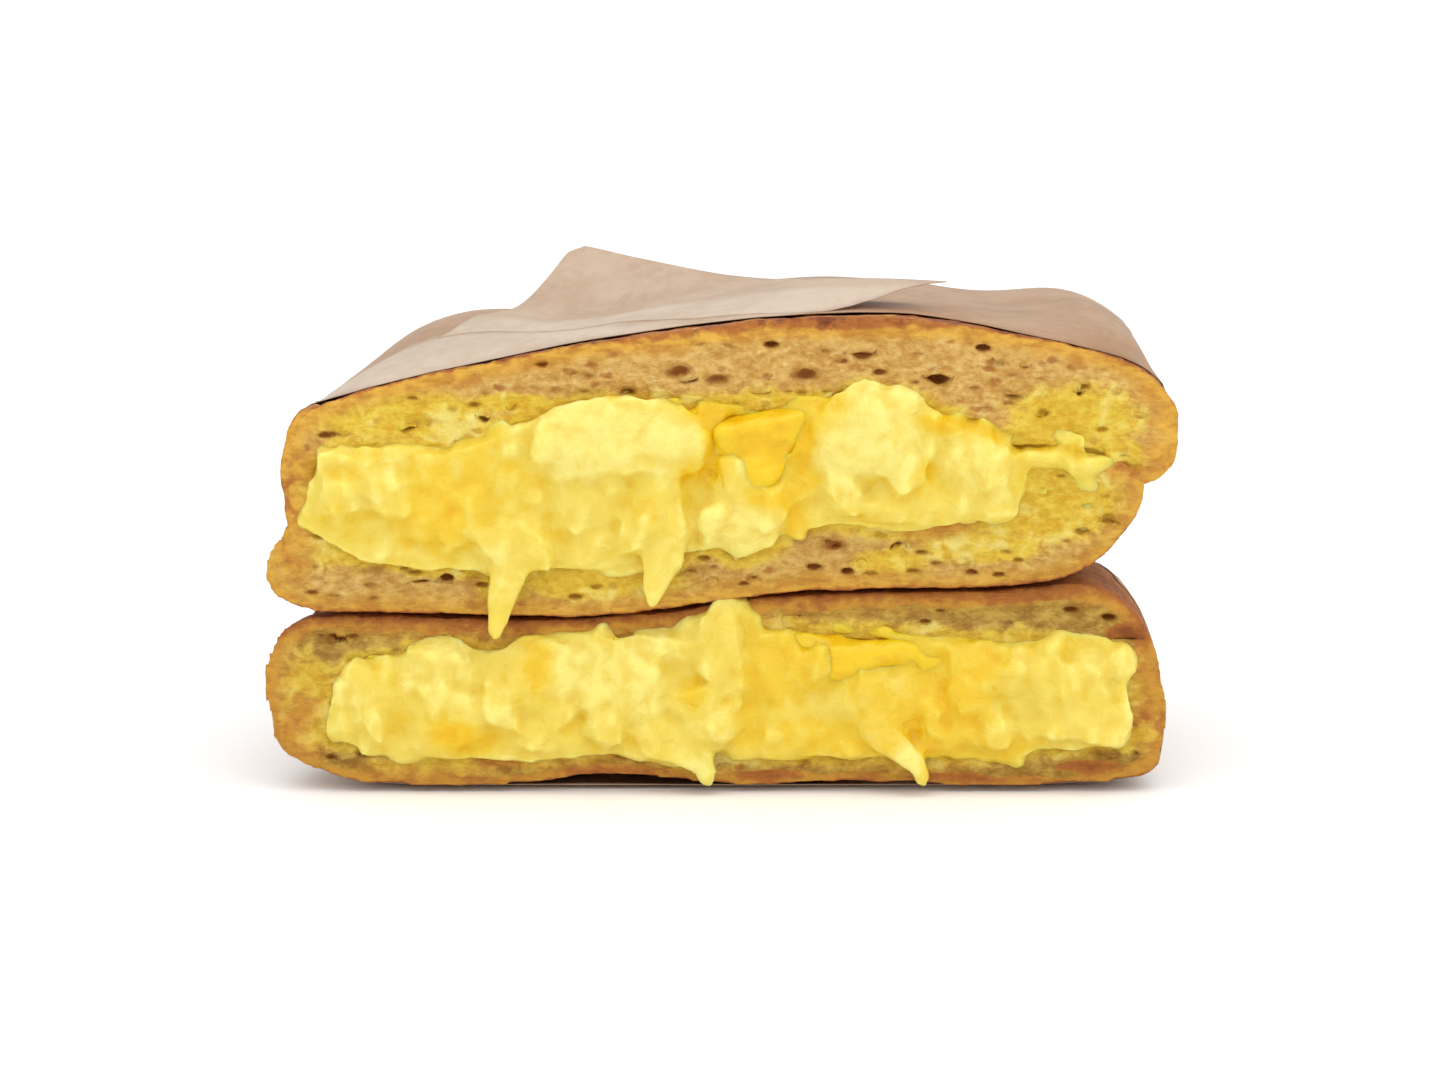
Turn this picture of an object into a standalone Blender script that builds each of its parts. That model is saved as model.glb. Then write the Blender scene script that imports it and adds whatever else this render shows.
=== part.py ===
"""A breakfast sandwich: an egg and cheese roll cut across, its two halves stacked in their wrapping paper.

The cut faces look towards -Y, X runs along them and Z is up.
Sizes are in millimetres until a mesh is made.
"""

import math
import random

import bmesh
import bpy
from mathutils import Matrix, Vector, noise

MM = 0.001

# The roll, its fillings and its paper
HALF_DEPTH = 58.0
LOWER_SET_BACK = 1.2
CHEESE_THICKNESS = 1.5
PAPER_THICKNESS = 0.3
GAP = 0.35
FILLING_SHARE_OF_DEPTH = 0.86

# How the roll rounds off away from the cut, in plan at either end and in height: higher powers are boxier
LEFT_POWER = 2.8
RIGHT_POWER = 4.0
LEFT_FLARE = 0.07
FLARE_DEPTH = 0.195
HEIGHT_POWER = 3.2
PAPER_BOXINESS = 0.5
PAPER_HEIGHT_POWER = 4.6
PAPER_STRAIGHT = 0.4

# The upper half is fullest at the cut: this share of its height is lost behind it, less of it in the paper
FALL = 0.11
PAPER_FALL_SHARE = 0.45
CRUST_UNEVENNESS = 0.7

FILLING_COLUMNS = 18
FILLING_RINGS = 5
FILLING_END_POWER = 8
CHEESE_RINGS = 4
CHEESE_EDGE_SHARE = 0.55
DRIP_RINGS = 9
DRIP_SIDES = 10
CRUST_POINTS = 30
CRUMB_POINTS = 24
DEPTH_RINGS = 8
PAPER_POINTS = 60
PAPER_RINGS = 8

# Crust and crumb lines of each slice at the cut, from the left end to the right end
UPPER_TOP_CRUST = (
    (-55.2, 41.3), (-56.6, 45.8), (-54.8, 50.0), (-51.0, 52.1), (-38.0, 55.6), (-20.0, 59.2),
    (0.0, 62.0), (20.0, 63.3), (37.0, 61.2), (50.0, 58.4), (57.4, 54.9), (59.9, 50.0), (56.6, 44.6),
)
UPPER_TOP_CRUMB = (
    (-52.6, 43.3), (-50.6, 46.4), (-42.0, 45.4), (-31.0, 47.0), (-24.0, 50.4), (-14.0, 51.7), (-3.0, 51.1),
    (10.0, 52.1), (24.0, 51.1), (31.0, 49.6), (37.0, 46.6), (42.0, 47.4), (50.0, 46.2),
)
UPPER_BASE_CRUST = (
    (-60.1, 29.2), (-57.0, 25.6), (-52.0, 24.1), (-40.0, 24.0), (-20.0, 23.6), (-5.0, 24.8), (5.0, 26.5),
    (20.0, 27.3), (36.0, 27.5), (46.0, 28.9), (51.6, 33.0), (55.2, 38.0), (56.0, 42.5),
)
UPPER_BASE_CRUMB = (
    (-57.4, 33.6), (-54.6, 35.8), (-49.0, 32.7), (-40.0, 30.7), (-28.0, 30.3), (-14.0, 30.7), (-4.0, 32.5),
    (6.0, 35.0), (12.0, 36.4), (24.0, 36.4), (35.0, 36.6), (41.0, 40.1), (48.0, 42.3),
)
LOWER_TOP_CRUST = (
    (-57.6, 7.3), (-59.4, 11.7), (-59.6, 17.3), (-57.4, 21.2), (-53.5, 22.8), (-40.0, 22.6), (-20.0, 22.2),
    (-5.0, 23.4), (5.0, 25.0), (20.0, 25.8), (36.0, 26.0), (46.0, 27.3), (50.4, 26.4), (54.6, 23.8),
    (57.3, 19.7), (58.3, 14.2), (57.9, 8.7),
)
LOWER_TOP_CRUMB = (
    (-53.0, 8.7), (-51.4, 13.2), (-48.6, 17.3), (-41.0, 17.7), (-33.0, 18.9), (-20.0, 19.1), (-8.0, 20.1),
    (0.0, 21.4), (8.0, 21.6), (17.0, 21.4), (30.0, 20.5), (42.0, 20.1), (50.0, 19.1), (53.0, 15.3),
    (54.2, 10.6),
)
LOWER_BASE_CRUST = (
    (-55.0, 5.3), (-52.0, 2.6), (-48.0, 1.4), (-41.0, 0.9), (-28.0, 0.8), (-21.0, 1.7), (-14.0, 2.5),
    (-7.0, 1.8), (0.0, 1.0), (6.0, 0.8), (17.0, 1.5), (24.0, 1.2), (31.5, 0.8), (43.0, 0.9), (53.0, 1.5),
    (57.2, 3.7), (58.2, 6.7),
)
LOWER_BASE_CRUMB = (
    (-51.0, 6.9), (-47.0, 6.7), (-41.0, 5.6), (-32.0, 5.2), (-25.0, 4.8), (-15.0, 5.7), (-3.0, 6.5),
    (5.5, 6.1), (17.0, 5.3), (24.0, 4.7), (31.5, 4.7), (38.0, 5.9), (47.0, 6.3), (54.0, 6.4),
)

# The upper half's paper: its front edge on top as (x, distance behind the cut), and on its sides.
# It is on top above one height, and tucked under below another, out to one x. BASE is the height that it
# draws in towards at the back
UPPER_PAPER_EDGE = (
    (-60.0, 13.0), (-54.0, 8.0), (-48.5, 1.0), (-28.0, 1.2), (-18.0, 5.0), (-5.0, 7.2), (8.0, 6.0),
    (16.0, 7.5), (30.0, 11.5), (37.0, 1.6), (48.0, 0.8), (55.0, 2.0), (60.0, 13.0),
)
SIDE_SET_BACK = 13.0
UPPER_PAPER_TUCK = 53.0
UPPER_PAPER_ON_TOP = 46.0
UPPER_PAPER_UNDER = 30.0
UPPER_PAPER_BASE = 27.5
UPPER_PAPER_SLACK = 0.65
PAPER_DEPTH = HALF_DEPTH + 1.8

# Where it stands up loosely off the crust: x, reach and height
PAPER_PUFFS = ((-45.0, 6.0, 2.8), (-36.0, 8.0, 3.4), (50.0, 7.0, 4.0))

# The lower half's paper: how far behind the cut its edge is, low down and at the top of its sides,
# the heights between which the one becomes the other, and where its sides end on top
LOWER_PAPER_EDGE = 1.6
LOWER_PAPER_TOP_EDGE = 14.0
LOWER_PAPER_SLOPE = (9.0, 17.0)
LOWER_PAPER_TOP = 52.0
LOWER_PAPER_ON_TOP = 15.0
LOWER_PAPER_BASE = 6.0
LOWER_PAPER_SLACK = 0.2

# The paper's edge turned back over the top of it: the ends of its crease in x, and its corner as (x, y).
# The corner stands up from these shares of the way to it, at the left and the right side of the flap
FOLD_LEFT = -47.5
FOLD_RIGHT = 30.0
FOLD_CORNER = (-19.6, 40.0)
FOLD_ROWS = 8
FOLD_COLUMNS = 14
FOLD_LENGTH = 0.97
FOLD_CLEARANCE = 0.25
CORNER_LIFT = 8.2
CORNER_STARTS = (0.72, 0.48)
CORNER_CURL = 1.2
RIGHT_END_LIFT = 2.6

BREAD_COLOUR = (0.62, 0.37, 0.10)
EGG_COLOUR = (0.90, 0.70, 0.12)
CHEESE_COLOUR = (0.92, 0.58, 0.04)
PAPER_COLOUR = (0.60, 0.47, 0.35)


def clear_scene():
    for obj in list(bpy.data.objects):
        bpy.data.objects.remove(obj, do_unlink=True)


def make_material(name, colour, roughness):
    material = bpy.data.materials.new(name)
    material.use_nodes = True
    shader = material.node_tree.nodes["Principled BSDF"]
    shader.inputs["Base Color"].default_value = (*colour, 1.0)
    shader.inputs["Roughness"].default_value = roughness
    shader.inputs["Metallic"].default_value = 0.0
    return material


def smooth_between(a, b, c, d, t):
    """A number this share of the way from b to c, smooth with a before them and d after them."""
    slope = c - a
    bend = 2 * a - 5 * b + 4 * c - d
    twist = 3 * b - a - 3 * c + d
    return b + 0.5 * t * (slope + t * (bend + t * twist))


def curve_through(points, count):
    """Evenly spaced points on a smooth curve through these."""
    ends = [points[0], *points, points[-1]]
    steps = 12
    fine = []
    for span in zip(ends, ends[1:], ends[2:], ends[3:]):
        for step in range(steps):
            fine.append(tuple(smooth_between(*values, step / steps) for values in zip(*span)))
    fine.append(points[-1])
    return evenly_spaced(fine, count)


def evenly_spaced(line, count):
    """Count points at equal distances along an open line."""
    travelled = [0.0]
    for a, b in zip(line, line[1:]):
        travelled.append(travelled[-1] + math.dist(a, b))
    result = []
    index = 0
    for step in range(count):
        goal = travelled[-1] * step / (count - 1)
        while index < len(line) - 2 and travelled[index + 1] < goal:
            index += 1
        span = travelled[index + 1] - travelled[index]
        share = (goal - travelled[index]) / span if span else 0.0
        result.append(tuple(a + (b - a) * share for a, b in zip(line[index], line[index + 1])))
    return result


def height_at(line, x):
    """The height of a left-to-right line at x."""
    for (x0, z0), (x1, z1) in zip(line, line[1:]):
        if x0 <= x <= x1:
            return z0 + (z1 - z0) * (x - x0) / (x1 - x0)
    return line[0][1] if x < line[0][0] else line[-1][1]


def rounding(share, power):
    """How much of its full size the roll has at this share of its depth."""
    return max(0.0, 1 - share ** power) ** (1 / power)


def narrowing(x, share, boxiness=0.0):
    """How much of its full width the roll has at this share of its depth, on the side where x is."""
    if x > 0:
        return rounding(share, RIGHT_POWER + boxiness)
    return rounding(share, LEFT_POWER + boxiness) * (1 - LEFT_FLARE * min(1.0, share / FLARE_DEPTH))


def fallen(share, fall):
    """How tall the roll is at this share of its depth, as a factor of its height at the cut."""
    return 1 - fall * math.sin(math.pi * share)


def unevenness(x, z, share):
    """Low swells of the crust, none at the cut, at the back and on the table."""
    swell = noise.noise(Vector((x / 14, 4 * share, 0.0)))
    return CRUST_UNEVENNESS * math.sin(math.pi * share) * min(1.0, max(0.0, z - 1.0) / 12) * swell


class Slice:
    """A slice of the roll, drawn at its cut face and carried back into the depth."""

    def __init__(self, crust, crumb, set_back=0.0, fall=0.0):
        self.set_back = set_back
        self.fall = fall
        self.left, self.right = crust[0], crust[-1]
        self.crust = curve_through(crust, CRUST_POINTS)
        self.crumb = curve_through((crust[0], *crumb, crust[-1]), CRUMB_POINTS)

    def end_height(self, x):
        """The height between its two ends, to which it closes at the back."""
        share = (x - self.left[0]) / (self.right[0] - self.left[0])
        return self.left[1] + (self.right[1] - self.left[1]) * min(1.0, max(0.0, share))

    def place(self, x, z, share):
        """A point of the cut face carried back to this share of the depth."""
        end = self.end_height(x)
        height = end + (z - end) * fallen(share, self.fall) * rounding(share, HEIGHT_POWER)
        height += unevenness(x, z, share)
        return (x * narrowing(x, share), self.set_back + share * HALF_DEPTH, height)

    def section(self):
        return [*self.crust, *reversed(self.crumb[1:-1])]


def shares_of_depth(rings):
    """Shares of the depth from the cut to the back, closer together where the roll rounds off."""
    return [math.sin(0.5 * math.pi * ring / rings) for ring in range(rings + 1)]


def new_object(name, bm, material=None):
    bmesh.ops.recalc_face_normals(bm, faces=bm.faces)
    mesh = bpy.data.meshes.new(name)
    bm.to_mesh(mesh)
    bm.free()
    mesh.shade_smooth()
    obj = bpy.data.objects.new(name, mesh)
    bpy.context.scene.collection.objects.link(obj)
    if material:
        mesh.materials.append(material)
    return obj


def loft(rings, pole=None, closed_front=True):
    """A skin over rings of points in mm, the first one filled, the last one drawn to a pole or filled."""
    bm = bmesh.new()
    verts = [[bm.verts.new(Vector(point) * MM) for point in ring] for ring in rings]
    count = len(rings[0])
    for near, far in zip(verts, verts[1:]):
        for i in range(count):
            j = (i + 1) % count
            bm.faces.new((near[i], near[j], far[j], far[i]))
    if closed_front:
        bm.faces.new(verts[0])
    if pole is None:
        bm.faces.new(verts[-1])
    else:
        tip = bm.verts.new(Vector(pole) * MM)
        for i in range(count):
            bm.faces.new((verts[-1][i], verts[-1][(i + 1) % count], tip))
    return bm


def slice_object(name, piece, material=None):
    shares = shares_of_depth(DEPTH_RINGS)
    rings = [[piece.place(x, z, share) for x, z in piece.section()] for share in shares[:-1]]
    middle = 0.5 * (piece.left[0] + piece.right[0])
    return new_object(name, loft(rings, pole=piece.place(middle, piece.end_height(middle), 1.0)), material)


def grown(obj, by):
    """A copy whose skin stands off by this much, as a cutter for its neighbours."""
    copy = bpy.data.objects.new(obj.name + "_cutter", obj.data.copy())
    bpy.context.scene.collection.objects.link(copy)
    normals = [vert.normal.copy() for vert in copy.data.vertices]
    for vert, normal in zip(copy.data.vertices, normals):
        vert.co += normal * by * MM
    return copy


def combine(obj, operation, others, solver="EXACT"):
    """Joins or cuts obj with all the others in one applied Boolean, then removes them."""
    group = bpy.data.collections.new("operands")
    bpy.context.scene.collection.children.link(group)
    for other in others:
        bpy.context.scene.collection.objects.unlink(other)
        group.objects.link(other)
    modifier = obj.modifiers.new(operation.lower(), "BOOLEAN")
    modifier.operation = operation
    modifier.operand_type = "COLLECTION"
    modifier.collection = group
    modifier.solver = solver
    graph = bpy.context.evaluated_depsgraph_get()
    result = bpy.data.meshes.new_from_object(obj.evaluated_get(graph))
    obj.modifiers.clear()
    obj.data = result
    for other in others:
        bpy.data.objects.remove(other, do_unlink=True)
    bpy.data.collections.remove(group)


def keep_main_body(obj):
    """Drops the loose scraps that a cut leaves."""
    bm = bmesh.new()
    bm.from_mesh(obj.data)
    left = set(bm.verts)
    bodies = []
    while left:
        stack = [left.pop()]
        body = set(stack)
        while stack:
            for edge in stack.pop().link_edges:
                for vert in edge.verts:
                    if vert in left:
                        left.remove(vert)
                        body.add(vert)
                        stack.append(vert)
        bodies.append(body)
    main = max(bodies, key=len)
    bmesh.ops.delete(bm, geom=[vert for vert in bm.verts if vert not in main], context="VERTS")
    bm.to_mesh(obj.data)
    bm.free()


def lump(x, y, z, width, depth, height, turn=0.0, roughness=0.12, detail=2, seed=0):
    """A soft uneven lump, width by depth by height in mm across, turned in the cut face by degrees."""
    bm = bmesh.new()
    bmesh.ops.create_icosphere(bm, subdivisions=detail, radius=0.5)
    for vert in bm.verts:
        away = vert.co.normalized()
        vert.co *= 1 + roughness * noise.noise(away * 1.7 + Vector((seed * 3.1, seed * 1.3, seed)))
    size = Matrix.Diagonal((width * MM, depth * MM, height * MM, 1.0))
    place = Matrix.Translation(Vector((x, y, z)) * MM) @ Matrix.Rotation(math.radians(turn), 4, "Y")
    bmesh.ops.transform(bm, matrix=place @ size, verts=bm.verts)
    return new_object("lump", bm)


def drip(points, widths, depth):
    """A melted tongue that hangs over what is below, through points with a width at each, in mm."""
    line = curve_through([(*point, width) for point, width in zip(points, widths)], DRIP_RINGS)
    turns = [2 * math.pi * side / DRIP_SIDES for side in range(DRIP_SIDES)]
    rings = []
    for x, y, z, width in line:
        rings.append([(x + 0.5 * width * math.cos(a), y + 0.5 * depth * math.sin(a), z) for a in turns])
    tip_x, tip_y, tip_z, tip_width = line[-1]
    taper = 0.6
    rings.append([
        (tip_x + taper * (x - tip_x), tip_y + taper * (y - tip_y), tip_z - 0.3 * tip_width)
        for x, y, z in rings[-1]
    ])
    return new_object("drip", loft(rings, pole=(tip_x, tip_y, tip_z - 0.42 * tip_width)))


def filling_rings(upper, lower, left, right, top_inset, bottom_inset, back_share):
    """Rings of a layer that fills the room between two slices and rounds off at both ends."""
    rings = []
    for share in [back_share * share for share in shares_of_depth(FILLING_RINGS)]:
        top, bottom = [], []
        for column in range(FILLING_COLUMNS + 1):
            along = column / FILLING_COLUMNS
            x = left + (right - left) * 0.5 * (1 - math.cos(math.pi * along))
            high = height_at(upper.crumb, x) - top_inset
            low = height_at(lower.crumb, x) + bottom_inset
            end = 2 * along - 1
            ease = 0.5 * (1 - (1 - end ** FILLING_END_POWER) ** 0.5) * max(0.0, high - low)
            top.append(upper.place(x, high - ease, share))
            bottom.append(lower.place(x, low + ease, share))
        rings.append([*top, *reversed(bottom[1:-1])])
    return rings


def cheese_rings(upper, left, right, back_share):
    """Rings of the melted cheese layer that clings under the upper slice, thinner at both ends."""
    rings = []
    for share in [back_share * share for share in shares_of_depth(CHEESE_RINGS)]:
        top, bottom = [], []
        for column in range(FILLING_COLUMNS + 1):
            along = column / FILLING_COLUMNS
            x = left + (right - left) * along
            high = height_at(upper.crumb, x) - 2 * GAP
            swell = CHEESE_EDGE_SHARE + (1 - CHEESE_EDGE_SHARE) * math.sin(math.pi * along)
            thickness = CHEESE_THICKNESS * swell
            top.append(upper.place(x, high, share))
            bottom.append(upper.place(x, high - thickness, share))
        rings.append([*top, *reversed(bottom)])
    return rings


def forward(rings, by):
    """The same rings with the first one moved out of the cut face by this much."""
    first = [(x, y - by, z) for x, y, z in rings[0]]
    return [first, *rings[1:]]


# Pieces of the fillings that show at the cut: x, z, width, height, turn, how far proud of the cut face
UPPER_CURDS = (
    (-12.5, 46.4, 26.0, 9.0, -3.0, 3.6), (19.5, 47.2, 18.0, 10.5, -8.0, 3.6),
    (3.2, 37.0, 12.0, 9.5, 10.0, 3.4), (34.4, 43.5, 8.6, 9.0, 0.0, 2.4),
    (36.0, 39.5, 7.5, 6.0, 0.0, 2.6), (24.0, 39.1, 14.0, 6.4, 0.0, 2.4),
    (12.0, 41.1, 12.0, 7.0, 10.0, 2.2), (-47.0, 40.1, 13.0, 12.0, 0.0, 2.4),
    (-36.5, 38.0, 13.0, 12.0, 20.0, 2.6), (-26.0, 39.7, 12.0, 12.0, 0.0, 2.2),
    (-17.0, 37.6, 13.0, 9.0, 0.0, 2.8), (-8.5, 38.2, 9.0, 10.0, 0.0, 2.9),
    (-42.0, 34.2, 13.0, 5.0, -8.0, 2.0), (-29.0, 34.2, 11.0, 5.5, 0.0, 2.0),
    (-16.0, 33.0, 12.0, 4.8, 0.0, 1.9),
)
LOWER_CURDS = (
    (-45.0, 12.8, 10.0, 10.0, 10.0, 2.8), (-36.0, 15.7, 13.0, 7.5, 0.0, 2.8),
    (-35.0, 9.8, 14.0, 7.5, -12.0, 3.0), (-23.0, 14.8, 14.0, 9.0, 8.0, 3.0),
    (-23.0, 8.5, 13.0, 6.4, 0.0, 2.8), (-11.0, 14.2, 12.0, 12.0, 30.0, 3.4),
    (0.5, 18.9, 9.0, 12.0, 10.0, 3.4), (-1.5, 11.0, 12.0, 10.0, -10.0, 3.2),
    (9.0, 15.7, 12.0, 9.0, 0.0, 2.6), (8.0, 9.4, 11.0, 6.4, 0.0, 2.4),
    (21.0, 12.0, 14.0, 9.0, 10.0, 2.8), (19.0, 7.5, 12.0, 5.0, 0.0, 2.2),
    (33.0, 13.6, 10.0, 12.0, 18.0, 3.0), (31.0, 7.9, 11.0, 5.0, -8.0, 2.4),
    (43.0, 14.8, 11.0, 10.0, -30.0, 2.8), (48.5, 12.8, 9.0, 12.0, 0.0, 3.0),
    (42.0, 9.2, 10.0, 5.0, 0.0, 2.4),
)
UPPER_CHEESE_PIECES = ((5.6, 47.0, 11.5, 10.0, 0.0, 2.6), (44.0, 44.7, 11.0, 2.2, -4.0, 1.4))
LOWER_CHEESE_PIECES = ((19.5, 17.5, 18.0, 6.4, 3.0, 2.2), (-50.5, 15.3, 5.0, 9.0, -12.0, 1.6))
FRONT_PIECE_DEPTH = 6.0
FINE_FROM_WIDTH = 13.0

# The small curds: how many, how big, how far proud, and how far from the bread below and above
FINE_CURDS = 14
FINE_CURD_SIZES = (2.6, 4.6)
FINE_CURD_PROUD = 1.6
FINE_CURD_MARGINS = (2.0, 4.0)


def front_pieces(pieces, set_back, seed):
    """Lumps that bulge from the cut face, each as far proud of it as given."""
    lumps = []
    for index, (x, z, width, height, turn, proud) in enumerate(pieces):
        y = set_back - proud + 0.5 * FRONT_PIECE_DEPTH
        detail = 2 if width > FINE_FROM_WIDTH else 1
        piece = lump(x, y, z, width, FRONT_PIECE_DEPTH, height, turn, detail=detail, seed=seed + index)
        lumps.append(piece)
    return lumps


def fine_curds(upper, lower, left, right, set_back, seed):
    """Small curds spread over the face of the egg."""
    draw = random.Random(seed)
    below, above = FINE_CURD_MARGINS
    curds = []
    for index in range(FINE_CURDS):
        x = left + (right - left) * (index + draw.random()) / FINE_CURDS
        low, high = height_at(lower.crumb, x) + below, height_at(upper.crumb, x) - above
        z = low + (high - low) * draw.random()
        size = draw.uniform(*FINE_CURD_SIZES)
        turn = draw.uniform(-40, 40)
        y = set_back - FINE_CURD_PROUD
        curds.append(lump(x, y, z, 1.5 * size, size, size, turn, detail=1, seed=seed + index))
    return curds


def cheese_object(name, upper, left, right, pieces, material, seed):
    rings = forward(cheese_rings(upper, left, right, FILLING_SHARE_OF_DEPTH), 0.6)
    layer = new_object(name, loft(rings), material)
    combine(layer, "UNION", front_pieces(pieces, upper.set_back, seed))
    return layer


def egg_object(name, upper, lower, left, right, curds, drips, material, seed):
    over = CHEESE_THICKNESS + 4 * GAP
    rings = filling_rings(upper, lower, left, right, over, 2 * GAP, FILLING_SHARE_OF_DEPTH)
    core = new_object(name, loft(forward(rings, 1.0)), material)
    pieces = front_pieces(curds, upper.set_back, seed)
    pieces += fine_curds(upper, lower, left + 4, right - 4, upper.set_back, seed)
    combine(core, "UNION", pieces + drips)
    return core


def convex_loop(points):
    """The tight line round these (x, z) points, anticlockwise from the left."""
    ordered = sorted(set(points))

    def half(sequence):
        line = []
        for point in sequence:
            while len(line) > 1:
                (ax, az), (bx, bz) = line[-2], line[-1]
                if (bx - ax) * (point[1] - az) - (bz - az) * (point[0] - ax) > 0:
                    break
                line.pop()
            line.append(point)
        return line[:-1]

    return half(ordered) + half(reversed(ordered))


def turned_spacing(loop, count):
    """Count points round a closed line, closer together where it turns."""
    turning_weight = 11.0
    measured = [0.0]
    for i in range(len(loop)):
        before, here, after = loop[i - 1], loop[i], loop[(i + 1) % len(loop)]
        first = math.atan2(here[1] - before[1], here[0] - before[0])
        second = math.atan2(after[1] - here[1], after[0] - here[0])
        turn = abs((second - first + math.pi) % (2 * math.pi) - math.pi)
        measured.append(measured[-1] + math.dist(here, after) + turning_weight * turn)
    result = []
    index = 0
    for step in range(count):
        goal = measured[-1] * step / count
        while measured[index + 1] < goal:
            index += 1
        share = (goal - measured[index]) / (measured[index + 1] - measured[index])
        here, after = loop[index], loop[(index + 1) % len(loop)]
        result.append(tuple(a + (b - a) * share for a, b in zip(here, after)))
    return result


def wrapped_loop(upper, lower, stand_off):
    """The paper's line round both slices at the cut, this far off the crust, starting at the bottom."""
    directions = [math.pi * step / 6 for step in range(12)]
    swept = [
        (x + stand_off * math.cos(a), z + stand_off * math.sin(a))
        for x, z in (*upper.section(), *lower.section())
        for a in directions
    ]
    loop = convex_loop(swept)
    low = min(z for x, z in loop)
    start = min(range(len(loop)), key=lambda i: abs(loop[i][0]) + 10 * (loop[i][1] - low))
    return turned_spacing(loop[start:] + loop[:start], PAPER_POINTS)


def paper_place(x, z, share, base_height, set_back, fall):
    """A point of the paper's line at the cut carried back to this share of the depth."""
    share = min(1.0, share)
    bend = rounding(max(0.0, share - PAPER_STRAIGHT) / (1 - PAPER_STRAIGHT), PAPER_HEIGHT_POWER)
    height = base_height + (z - base_height) * fallen(share, fall) * bend
    puff = 0.0
    if z > UPPER_PAPER_ON_TOP:
        puff = sum(high * math.exp(-((x - middle) / reach) ** 2) for middle, reach, high in PAPER_PUFFS)
    height += unevenness(x, z, share) + puff * math.sin(math.pi * share)
    return (x * narrowing(x, share, PAPER_BOXINESS), set_back + share * PAPER_DEPTH, height)


def paper_rows(loop, base_height, front, set_back=0.0, fall=0.0):
    """Rows of paper points from its front edge to the back, drawn in towards base_height at the back."""
    rows = []
    for step in range(PAPER_RINGS + 1):
        row = []
        for x, z in loop:
            start = front(x, z) / PAPER_DEPTH
            share = start + (1 - start) * math.sin(0.5 * math.pi * step / PAPER_RINGS)
            row.append(paper_place(x, z, share, base_height, set_back, fall))
        rows.append(row)
    return rows


def sheet_object(name, rows, material):
    """A sheet of paper through rows of points, given its thickness outwards."""
    bm = bmesh.new()
    verts = [[bm.verts.new(Vector(point) * MM) for point in row] for row in rows]
    count = len(rows[0])
    for near, far in zip(verts, verts[1:]):
        for i in range(count - 1):
            bm.faces.new((near[i], near[i + 1], far[i + 1], far[i]))
    bmesh.ops.remove_doubles(bm, verts=bm.verts, dist=0.02 * MM)
    obj = new_object(name, bm, material)
    modifier = obj.modifiers.new("thickness", "SOLIDIFY")
    modifier.thickness = PAPER_THICKNESS * MM
    modifier.offset = 1.0
    modifier.use_even_offset = True
    return obj


def upper_paper_front(x, z):
    """How far the upper half's paper edge lies behind the cut."""
    return height_at(UPPER_PAPER_EDGE, x) if z > UPPER_PAPER_ON_TOP else SIDE_SET_BACK


def lower_paper_front(x, z):
    """How far the lower half's paper edge lies behind the cut, further at the top of its sides."""
    low, high = LOWER_PAPER_SLOPE
    rise = min(1.0, max(0.0, (z - low) / (high - low)))
    return LOWER_PAPER_EDGE + (LOWER_PAPER_TOP_EDGE - LOWER_PAPER_EDGE) * rise


def part_of_loop(loop, left_out):
    """The stretch of a closed line outside left_out, in order."""
    start = next(i for i in range(len(loop)) if not left_out(*loop[i]) and left_out(*loop[i - 1]))
    return [point for point in loop[start:] + loop[:start] if not left_out(*point)]


def upper_paper_arc(upper, lower):
    """The upper half's paper at the cut, over the top, with both edges tucked under."""
    loop = wrapped_loop(upper, lower, GAP + UPPER_PAPER_SLACK)
    return part_of_loop(loop, lambda x, z: z < UPPER_PAPER_UNDER and abs(x) < UPPER_PAPER_TUCK)


def upper_paper_object(arc, material):
    """The upper half's paper: over the top, down the sides and the back, with its edges tucked under."""
    rows = paper_rows(arc, UPPER_PAPER_BASE, upper_paper_front, fall=PAPER_FALL_SHARE * FALL)
    return sheet_object("upper_half_paper", rows, material)


def lower_paper_object(upper, lower, material):
    """The lower half's paper: under it, up the sides and the back, open where the upper half lies on it."""
    loop = wrapped_loop(upper, lower, GAP + LOWER_PAPER_SLACK)
    arc = part_of_loop(loop, lambda x, z: z > LOWER_PAPER_ON_TOP and abs(x) < LOWER_PAPER_TOP)
    rows = paper_rows(arc, LOWER_PAPER_BASE, lower_paper_front, set_back=LOWER_SET_BACK)
    return sheet_object("lower_half_paper", rows, material)


def turned_back_object(arc, material):
    """The front edge of the upper paper folded back over it, with its corner standing up."""
    over = GAP + PAPER_THICKNESS + FOLD_CLEARANCE
    fall = PAPER_FALL_SHARE * FALL
    top = sorted((x, z) for x, z in arc if z > UPPER_PAPER_ON_TOP)
    corner_x, corner_y = FOLD_CORNER
    left_start, right_start = CORNER_STARTS
    rows = []
    for step in range(FOLD_ROWS + 1):
        v = FOLD_LENGTH * step / FOLD_ROWS
        row = []
        for column in range(FOLD_COLUMNS + 1):
            u = column / FOLD_COLUMNS
            crease_x = FOLD_LEFT + (FOLD_RIGHT - FOLD_LEFT) * u
            crease_y = height_at(UPPER_PAPER_EDGE, crease_x) + 0.5
            x = crease_x + (corner_x - crease_x) * v
            y = crease_y + (corner_y - crease_y) * v
            share = y / PAPER_DEPTH
            flat_x = x / narrowing(x, share, PAPER_BOXINESS)
            flat_z = height_at(top, flat_x)
            height = paper_place(flat_x, flat_z, share, UPPER_PAPER_BASE, 0.0, fall)[2]
            start = left_start + (right_start - left_start) * u
            lift = CORNER_LIFT * max(0.0, (v - start) / (1 - start)) ** CORNER_CURL
            lift += RIGHT_END_LIFT * u ** 6 * (1 - v)
            row.append((x, y, height + over + lift))
        rows.append(row)
    return sheet_object("turned_back_paper", rows, material)


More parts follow.
